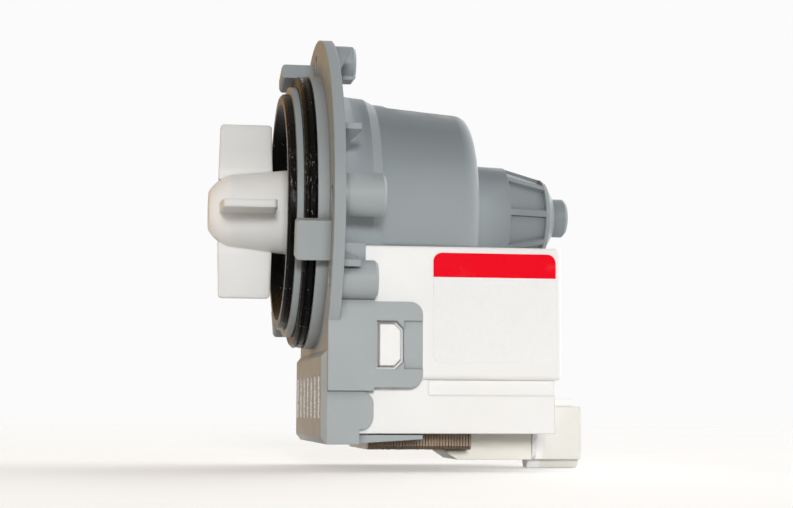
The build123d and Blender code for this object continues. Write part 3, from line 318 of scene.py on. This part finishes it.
def grey_plastic():
    """Housing: satin grey plastic with faint rubs, in painted shade above, on the shroud's top, on the nose
    and in inner corners, with painted light on the walls of the vents.
    """
    g = moulded_graph("grey_plastic", GREY, GREY_PALE, GREY_DARK, 0.40, grain=0.014 * MM, wear=0.3)
    rubs = g.remap(g.noise(1.1 * MM, 6.0, stretch=(1.0, 0.25, 0.6)), 0.60, 0.78, 0.0, 0.22)
    body = g.mix(rubs, g.body, GREY_PALE)
    height = g.axis("Z")
    along = g.axis("X")
    # Painted shade: darker above the stator's cover, less so on the boss and hooks of the label side, apart
    # from the flange's rim there
    off_rim = g.math("SUBTRACT", 1.0, g.within(along, RIM_MIDDLE, RIM_HALF, 0.1 * MM))
    proud = g.math("MULTIPLY", off_rim, g.remap(g.axis("Y"), *PROUD_FADE, 0.0, 0.8))
    upper = g.remap(height, *UPPER_FADE, 0.0, 0.85)
    body = g.mix(g.math("MULTIPLY", upper, g.math("SUBTRACT", 1.0, proud)), body, GREY_UPPER_SHADED)
    # Painted shade: darker on the shroud's upward faces and on the nose
    roof = g.math("MULTIPLY", g.remap(g.facing("Z"), 0.15, 0.70), g.remap(height, *ROOF_FADE))
    shroud = g.math("MULTIPLY", g.remap(along, *SHROUD_FADE), g.remap(height, *ROOF_END))
    nose = g.math("MULTIPLY", g.remap(along, *NOSE_FADE, 0.0, 0.55), g.remap(g.facing("X"), 0.8, 0.4))
    body = g.mix(g.math("MAXIMUM", g.math("MULTIPLY", roof, shroud), nose), body, GREY_TOP_SHADED)
    # Painted shade in inner corners
    body = g.mix(g.math("MULTIPLY", g.corners(2.2 * MM), 0.75), body, GREY_CORNER_SHADE)
    # Painted light: pale walls in the vents
    body = g.mix(vent_wall_light(g), body, VENT_WALL_LIT)
    return g.finish(Base_Color=body, Specular_IOR_Level=0.16)


def white_plastic():
    """Cover: satin white plastic, with painted shade that makes the connector darker and creamier."""
    g = moulded_graph("white_plastic", WHITE, WHITE_PALE, WHITE_DULL, 0.38, edge=0.5 * MM,
                      grain=0.012 * MM, cloudy=0.35, blotch=18 * MM)
    # Painted shade: the connector darker and creamier behind the cover's rear wall
    behind = g.remap(g.axis("X"), *SOCKET_FADE)
    behind = g.math("MULTIPLY", behind, g.within(g.axis("Y"), 0.0, SOCKET_HALF, 0.2 * MM))
    socket = g.math("MULTIPLY", behind, g.remap(g.axis("Z"), *SOCKET_TOP, 0.0, 0.9))
    body = g.mix(socket, g.body, WHITE_SOCKET_SHADE)
    return g.finish(Base_Color=body, Subsurface_Weight=0.15, Subsurface_Radius=(1.0, 0.95, 0.85),
                    Subsurface_Scale=0.8 * MM)


def impeller_plastic():
    """Impeller: milky, soft in its shadows, with a hub made paler by painted light and an upper vane darkened
    by painted shade.
    """
    g = moulded_graph("impeller_plastic", NATURAL, NATURAL_PALE, NATURAL_DIM, 0.48, edge=0.7 * MM,
                      grain=0.012 * MM, cloudy=0.25, blotch=6 * MM, wear=0.15)
    across = g.add("ShaderNodeMapping", {"Vector": g.place, "Scale": (0.0, 1.0, 1.0)}).outputs[0]
    radius = g.add("ShaderNodeVectorMath", {0: across}, operation="LENGTH").outputs["Value"]
    # Painted light: the hub paler than the vanes
    hub = g.remap(radius, HUB_RADIUS + 0.5 * MM, HUB_RADIUS - 0.8 * MM, 0.0, 0.7)
    # Painted shade: the upper vane darker
    body = g.mix(g.remap(g.axis("Z"), *VANE_FADE, 0.0, 0.6), g.body, NATURAL_VANE_SHADE)
    body = g.mix(hub, body, NATURAL_HUB_LIT)
    return g.finish(Base_Color=body, Subsurface_Weight=0.6, Subsurface_Radius=(1.0, 0.97, 0.9),
                    Subsurface_Scale=3.0 * MM, Specular_IOR_Level=0.12)


def cream_plastic():
    return moulded("cream_plastic", CREAM, CREAM_PALE, CREAM_DARK, 0.42, grain=0.015 * MM)


def rubber(name, colour, dusty, rough):
    """Black rubber: satin, with a fine grain and a little pale dust."""
    g = Graph(name)
    dust = g.remap(g.noise(1.2 * MM, 6.0), 0.55, 0.8, 0.0, 0.35)
    edge_share, rounded = g.edges(0.3 * MM)
    body = g.mix(dust, colour, dusty)
    body = g.mix(g.math("MULTIPLY", edge_share, 0.12), body, RUBBER_WORN)
    normal = g.bump(g.noise(0.3 * MM, 4.0), 0.012 * MM, rounded)
    roughness = g.remap(g.noise(2 * MM, 4.0), 0.3, 0.7, rough - 0.08, rough + 0.1)
    return g.finish(Base_Color=body, Roughness=roughness, Normal=normal, Specular_IOR_Level=0.3)


def wet_film(g, normal):
    """Bump for small drops and streaks of water, and how wet each place is."""
    drops = g.remap(g.cells(1.7 * MM), 0.12, 0.30, 1.0, 0.0)
    some = g.remap(g.noise(5 * MM, 2.0), 0.50, 0.58)
    drops = g.math("MULTIPLY", drops, some)
    normal = g.bump(drops, 0.22 * MM, normal)
    ripple = g.noise(0.7 * MM, 5.0, stretch=(1.0, 0.5, 0.35), distortion=1.5)
    return g.bump(ripple, 0.05 * MM, normal), some


def specks_and_glint(g):
    """Share of small pale speckles in loose groups, and of a painted highlight streak at mid-height on the
    near side.
    """
    dots = g.remap(g.cells(0.9 * MM), 0.10, 0.16, 1.0, 0.0)
    groups = g.remap(g.noise(3.5 * MM, 3.0), 0.60, 0.66)
    # Painted highlight: a pale streak at mid-height on the near side of the rings
    painted_glint = g.remap(g.noise(0.28 * MM, 4.0, stretch=(1.0, 1.0, 0.25)), 0.60, 0.72, 0.0, 0.85)
    painted_glint = g.math("MULTIPLY", painted_glint, g.within(g.axis("Z"), GLINT_HEIGHT, 2.5 * MM, 5 * MM))
    painted_glint = g.math("MULTIPLY", painted_glint, g.remap(g.axis("Y"), GLINT_SIDE, GLINT_SIDE - 6 * MM))
    return g.math("MAXIMUM", g.math("MULTIPLY", dots, groups), painted_glint)


def wet_rubber():
    """Gasket: black rubber, greased and wet, with pale speckles and a painted highlight streak."""
    g = Graph("wet_rubber")
    edge_share, rounded = g.edges(0.3 * MM)
    normal, wet = wet_film(g, rounded)
    normal = g.bump(g.noise(0.25 * MM, 4.0), 0.008 * MM, normal)
    dust = g.remap(g.noise(1.5 * MM, 6.0), 0.58, 0.8, 0.0, 0.4)
    body = g.mix(dust, BLACK, BLACK_DUSTY)
    body = g.mix(g.math("MULTIPLY", edge_share, 0.08), body, GASKET_WORN)
    body = g.mix(specks_and_glint(g), body, SPECK_AND_GLINT)
    roughness = g.remap(wet, 0.0, 1.0, 0.28, 0.12)
    return g.finish(Base_Color=body, Roughness=roughness, Normal=normal, Specular_IOR_Level=0.06)


def wet_black_plastic():
    """Seal plate: polished black plastic with small drops and speckles on it, and a painted highlight streak.
    """
    g = Graph("wet_black_plastic")
    edge_share, rounded = g.edges(0.3 * MM)
    normal, wet = wet_film(g, rounded)
    body = g.mix(specks_and_glint(g), BLACK, SPECK_AND_GLINT)
    body = g.mix(g.math("MULTIPLY", edge_share, 0.35), body, SEAL_WORN)
    roughness = g.remap(wet, 0.0, 1.0, 0.22, 0.09)
    return g.finish(Base_Color=body, Roughness=roughness, Normal=normal, Specular_IOR_Level=0.06)


def label_film():
    """Blank label: a red band over plain white, printed on satin film."""
    g = Graph("label_film")
    height = g.axis("Z")
    ragged = g.remap(g.noise(0.3 * MM, 2.0), 0.0, 1.0, -0.02 * MM, 0.02 * MM)
    band = g.remap(g.math("ADD", height, ragged), BAND_BOTTOM - 0.03 * MM, BAND_BOTTOM + 0.03 * MM)
    print_grain = g.remap(g.noise(0.25 * MM, 3.0), 0.35, 0.75)
    red = g.mix(print_grain, RED_DEEP, RED)
    paper = g.mix(g.remap(g.noise(0.6 * MM, 4.0), 0.35, 0.7), LABEL_GREY, LABEL_WHITE)
    body = g.mix(band, paper, red)
    handling = g.remap(g.noise(4 * MM, 5.0, distortion=1.0), 0.58, 0.85, 0.0, 0.08)
    body = g.mix(handling, body, LABEL_SOILED)
    normal = g.bump(g.noise(0.5 * MM, 3.0), 0.005 * MM)
    normal = g.bump(g.noise(9 * MM, 2.0), 0.02 * MM, normal)
    roughness = g.remap(g.noise(3 * MM, 4.0), 0.3, 0.7, 0.34, 0.46)
    return g.finish(Base_Color=body, Roughness=roughness, Normal=normal, Specular_IOR_Level=0.03)


def stamped_steel(start, pitch):
    """Core sheets: mottled bright faces, and cut edges that are darker and a little rusty, with painted shade
    towards the joins between sheets.
    """
    g = Graph("stamped_steel")
    mottle = g.noise(0.42 * MM, 7.0)
    cloud = g.noise(5 * MM, 4.0, distortion=0.8)
    face = g.mix(g.remap(mottle, 0.40, 0.62), STEEL_DARK, STEEL)
    face = g.mix(g.remap(cloud, 0.5, 0.8, 0.0, 0.4), face, STEEL_BRIGHT)
    # Painted shade: the cut edges darken towards the joins between sheets, mixed with streaks of rust
    turn = g.math("DIVIDE", g.math("SUBTRACT", g.axis("X"), start), pitch)
    middle = g.math("ABSOLUTE", g.math("SUBTRACT", g.math("FRACT", turn), 0.5))
    streak = g.remap(g.noise(2.5 * MM, 4.0), 0.35, 0.65, 0.0, 0.35)
    edge = g.mix(g.math("ADD", g.remap(middle, 0.2, 0.42, 0.0, 0.65), streak), CUT_EDGE, RUST_AND_JOIN_SHADE)
    end_on = g.facing("X")
    body = g.mix(g.remap(end_on, 0.4, 0.8), edge, face)
    normal = g.bump(mottle, 0.03 * MM)
    metal = g.remap(end_on, 0.4, 0.8, 0.35, 0.9)
    roughness = g.remap(g.noise(0.9 * MM, 5.0), 0.3, 0.7, 0.30, 0.5)
    return g.finish(Base_Color=body, Roughness=roughness, Normal=normal, Metallic=metal)


def ground_steel():
    """Shaft: ground steel with fine lines round it."""
    g = Graph("ground_steel")
    lines = g.noise(0.12 * MM, 3.0, stretch=(0.3, 1.0, 1.0))
    body = g.mix(g.remap(lines, 0.3, 0.7), SHAFT_DARK, SHAFT_BRIGHT)
    roughness = g.remap(g.noise(1 * MM, 4.0), 0.3, 0.7, 0.18, 0.32)
    normal = g.bump(lines, 0.004 * MM)
    return g.finish(Base_Color=body, Roughness=roughness, Normal=normal, Metallic=1.0)


def brass_sheet():
    """Tabs: rolled brass with fine lines along them and dull patches."""
    g = Graph("brass_sheet")
    lines = g.noise(0.1 * MM, 4.0, stretch=(0.08, 1.0, 1.0))
    dull = g.remap(g.noise(1.5 * MM, 5.0), 0.45, 0.7, 0.0, 0.35)
    body = g.mix(g.remap(lines, 0.3, 0.7), BRASS_DARK, BRASS)
    body = g.mix(dull, body, BRASS_DARK)
    edge_share, rounded = g.edges(0.15 * MM)
    body = g.mix(g.math("MULTIPLY", edge_share, 0.4), body, BRASS_WORN)
    normal = g.bump(lines, 0.006 * MM, rounded)
    roughness = g.remap(g.noise(0.8 * MM, 4.0), 0.3, 0.7, 0.2, 0.38)
    return g.finish(Base_Color=body, Roughness=roughness, Normal=normal, Metallic=1.0)


def copper_turns():
    """Windings: rows of enamelled wire, stacked along Z, slightly uneven, with painted shade in the grooves
    between them.
    """
    g = Graph("copper_turns")
    wander = g.remap(g.noise(2.5 * MM, 3.0), 0.0, 1.0, -0.25, 0.25)
    row = g.math("ADD", g.math("DIVIDE", g.axis("Z"), WIRE_PITCH), wander)
    across = g.remap(g.math("FRACT", row), 0.0, 1.0, -1.0, 1.0)
    fall = g.math("SUBTRACT", 1.0, g.math("POWER", across, 2.0), clamp=True)
    round_wire = g.math("SQRT", fall)
    # Painted shade in the grooves between the rows of wire
    body = g.mix(g.remap(round_wire, 0.25, 0.9), COPPER_GROOVE_SHADE, COPPER)
    tint = g.remap(g.noise(1.5 * MM, 4.0), 0.35, 0.7, 0.0, 0.4)
    body = g.mix(tint, body, COPPER_DULL)
    normal = g.bump(round_wire, 0.05 * MM)
    roughness = g.remap(tint, 0.0, 0.4, 0.24, 0.36)
    return g.finish(Base_Color=body, Roughness=roughness, Normal=normal, Metallic=0.7)


def ferrite():
    """Magnet: dark sintered ferrite."""
    g = Graph("ferrite")
    speck = g.noise(0.3 * MM, 5.0)
    body = g.mix(g.remap(speck, 0.4, 0.7), FERRITE, FERRITE_PALE)
    normal = g.bump(speck, 0.01 * MM)
    roughness = g.remap(g.noise(2 * MM, 4.0), 0.3, 0.7, 0.35, 0.5)
    return g.finish(Base_Color=body, Roughness=roughness, Normal=normal, Metallic=0.25)


def dress(material, *names):
    """Give CAD nodes a material."""
    for name in names:
        mesh = nodes[name].data
        mesh.materials.clear()
        mesh.materials.append(material)


def sheet_outline(half_width, top, bottom):
    """Outline of one core sheet as (y, z) points: a U whose legs end in two pole arcs."""
    inner = half_width - LEG_WIDTH
    start = math.asin(top / POLE_RADIUS)
    sweep = -math.acos(inner / POLE_RADIUS) - start
    arc = []
    for i in range(POLE_STEPS + 1):
        angle = start + sweep * i / POLE_STEPS
        arc.append((POLE_RADIUS * math.cos(angle), POLE_RADIUS * math.sin(angle)))
    half = [(half_width - FOOT_CORNER, bottom), (half_width, bottom + FOOT_CORNER),
            (half_width, top - TOP_CORNER), (half_width - TOP_CORNER, top),
            *arc, (inner, bottom + YOKE_HEIGHT)]
    return half + [(-y, z) for y, z in reversed(half)]


def core_sheets():
    """The stator core as a stack of separate thin sheets, each a little out of line."""
    low, high = (Vector(corner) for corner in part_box("stator_core"))
    outline = sheet_outline(high.y - SHEET_SLACK, high.z - SHEET_SLACK, low.z + SHEET_SLACK)
    pitch = (high.x - low.x + SHEET_GAP) / SHEET_COUNT
    chance = random.Random(11)
    mesh = bmesh.new()
    for i in range(SHEET_COUNT):
        x = low.x + i * pitch
        dy = chance.uniform(-SHEET_SLACK, SHEET_SLACK)
        dz = chance.uniform(-SHEET_SLACK, SHEET_SLACK)
        front = [mesh.verts.new((x, y + dy, z + dz)) for y, z in outline]
        back = [mesh.verts.new((x + pitch - SHEET_GAP, y + dy, z + dz)) for y, z in outline]
        mesh.faces.new(front)
        mesh.faces.new(list(reversed(back)))
        for j in range(len(outline)):
            k = (j + 1) % len(outline)
            mesh.faces.new((front[j], back[j], back[k], front[k]))
    bmesh.ops.recalc_face_normals(mesh, faces=mesh.faces)
    data = bpy.data.meshes.new("core_sheets")
    mesh.to_mesh(data)
    mesh.free()
    data.materials.append(stamped_steel(low.x - SHEET_GAP / 2, pitch))
    thing = bpy.data.objects.new("core_sheets", data)
    bpy.context.scene.collection.objects.link(thing)
    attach(thing, "stator")
    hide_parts("stator_core")


def floor():
    """A pale floor under the object: seen from above, fading into the background further away."""
    half = FLOOR_SIZE / 2
    z = cad_box[0].z - FLOOR_GAP
    mesh = bpy.data.meshes.new("floor")
    corners = [(-half, -half, z), (half, -half, z), (half, half, z), (-half, half, z)]
    mesh.from_pydata(corners, [], [(0, 1, 2, 3)])
    thing = bpy.data.objects.new("floor", mesh)
    bpy.context.scene.collection.objects.link(thing)
    g = Graph("floor_paint")
    cloud = g.remap(g.noise(0.2, 4.0), 0.3, 0.7, 0.0, 0.3)
    normal = g.bump(g.noise(1.5 * MM, 4.0), 0.02 * MM)
    g.finish(Base_Color=g.mix(cloud, FLOOR_COLOUR, BACKGROUND), Roughness=0.85, Specular_IOR_Level=0.15,
             Normal=normal)
    path = g.add("ShaderNodeLightPath").outputs
    seen = g.math("MAXIMUM", path["Is Camera Ray"], path["Is Glossy Ray"])
    seen = g.math("MAXIMUM", seen, path["Is Transmission Ray"])
    lift = g.math("MULTIPLY", seen, FLOOR_LIFT)
    white = g.add("ShaderNodeEmission", {"Color": BACKGROUND, "Strength": lift}).outputs[0]
    paint = g.add("ShaderNodeAddShader", {0: g.shader.outputs[0], 1: white}).outputs[0]
    clear = g.add("ShaderNodeBsdfTransparent").outputs[0]
    away = g.add("ShaderNodeVectorMath", {0: g.place, 1: FLOOR_CENTRE}, operation="DISTANCE").outputs["Value"]
    near = g.math("DIVIDE", 1.0, g.math("ADD", away, FADE_BASE))
    faded = g.remap(near, 1 / (FLOOR_NEAR + FADE_BASE), 1 / (FLOOR_FAR + FADE_BASE))
    below = g.add("ShaderNodeNewGeometry").outputs["Backfacing"]
    gone = g.math("MAXIMUM", faded, below)
    both = g.add("ShaderNodeMixShader", {0: gone, 1: paint, 2: clear}).outputs[0]
    g.feed(g.tree.nodes["Material Output"].inputs["Surface"], both)
    mesh.materials.append(g.material)


def world():
    """Faint even light all round, warm in front of the impeller, with a white background."""
    scene_world = bpy.data.worlds.new("studio")
    scene_world.use_nodes = True
    tree = scene_world.node_tree
    tree.nodes.clear()

    def add(kind, inputs, **settings):
        node = tree.nodes.new(kind)
        for key, value in settings.items():
            setattr(node, key, value)
        for key, value in inputs.items():
            if isinstance(value, bpy.types.NodeSocket):
                tree.links.new(value, node.inputs[key])
            elif isinstance(value, tuple):
                node.inputs[key].default_value = (*value, 1)
            else:
                node.inputs[key].default_value = value
        return node

    def blend(share, a, b):
        return add("ShaderNodeMix", {0: share, 6: a, 7: b}, data_type="RGBA").outputs[2]

    path = add("ShaderNodeLightPath", {}).outputs
    way = add("ShaderNodeSeparateXYZ", {0: add("ShaderNodeTexCoord", {}).outputs["Generated"]}).outputs
    side = add("ShaderNodeMapRange", {0: way["X"], 1: WARM_SIDE[0], 2: WARM_SIDE[1]}).outputs[0]
    far = add("ShaderNodeMapRange", {0: way["Y"], 1: FAR_SIDE[0], 2: FAR_SIDE[1]}).outputs[0]
    light = add("ShaderNodeBackground", {"Color": blend(side, EVEN, WARM), "Strength": WORLD_LIGHT})
    around = blend(side, blend(far, BACKGROUND, DIM_SHINE), WARM_SHINE)
    white = add("ShaderNodeBackground", {"Color": blend(path["Is Glossy Ray"], BACKGROUND, around)})
    shiny = {0: path["Is Glossy Ray"], 1: path["Is Transmission Ray"]}
    gloss = add("ShaderNodeMath", shiny, operation="MAXIMUM").outputs[0]
    seen = add("ShaderNodeMath", {0: path["Is Camera Ray"], 1: gloss}, operation="MAXIMUM")
    mixed = add("ShaderNodeMixShader", {0: seen.outputs[0], 1: light.outputs[0], 2: white.outputs[0]})
    add("ShaderNodeOutputWorld", {"Surface": mixed.outputs[0]})
    bpy.context.scene.world = scene_world


def soft_sun(name, place, light, width, colour=EVEN):
    """Light from far away. A white surface that faces it shows the strength light."""
    data = bpy.data.lights.new(name, "SUN")
    data.energy = light * math.pi
    data.angle = math.radians(width)
    data.color = colour
    thing = bpy.data.objects.new(name, data)
    thing.location = place
    thing.rotation_mode = "QUATERNION"
    thing.rotation_quaternion = (-Vector(place)).to_track_quat("-Z", "Y")
    bpy.context.scene.collection.objects.link(thing)


def camera():
    data = bpy.data.cameras.new("camera")
    data.lens = CAMERA_LENS
    data.sensor_width = CAMERA_SENSOR
    data.clip_start = 0.01
    thing = bpy.data.objects.new("camera", data)
    upright = Matrix.Rotation(-CAMERA_TURN, 4, "Z") @ Matrix.Rotation(math.pi / 2 + CAMERA_TILT, 4, "X")
    thing.matrix_world = Matrix.Translation(CAMERA_PLACE) @ upright @ Matrix.Rotation(CAMERA_ROLL, 4, "Z")
    bpy.context.scene.collection.objects.link(thing)
    bpy.context.scene.camera = thing


dress(grey_plastic(), "pump_housing")
dress(white_plastic(), "stator_cover")
dress(impeller_plastic(), "impeller", "impeller_hub_cap")
dress(cream_plastic(), "coil_bobbin", "magnet_sleeve", "drive_dog")
dress(wet_rubber(), "spigot_gasket")
dress(rubber("seal_rubber", SEAL_RUBBER, BLACK_DUSTY, 0.42), "shaft_seal")
dress(rubber("mount_rubber", MOUNT_RUBBER, MOUNT_DUSTY, 0.6),
      "front_bearing_mount", "rear_bearing_mount", "impeller_damper")
dress(wet_black_plastic(), "seal_plate")
dress(label_film(), "blank_label")
dress(ground_steel(), "rotor_shaft")
dress(brass_sheet(), "terminal_tabs")
dress(copper_turns(), "left_winding", "right_winding")
dress(ferrite(), "rotor_magnet")
dress(moulded("bush_carbon", *BUSH, 0.5), "front_bearing_bush", "rear_bearing_bush")
dress(moulded("washer_plastic", *WASHER, 0.4), "front_thrust_washer", "rear_thrust_washer")
dress(moulded("cutout_plastic", *CUTOUT, 0.45), "thermal_cutout")
core_sheets()

floor()
world()
soft_sun("key", place=(-0.08, -0.97, 0.16), light=0.60, width=10)
soft_sun("rear", place=(0.86, 0.48, 0.20), light=1.12, width=100)
soft_sun("top", place=(0.0, 0.2, 1.0), light=0.02, width=60)
soft_sun("bounce", place=(-0.96, 0.10, 0.20), light=0.24, width=60, colour=WARM)
camera()
bpy.context.scene.view_settings.view_transform = "Standard"
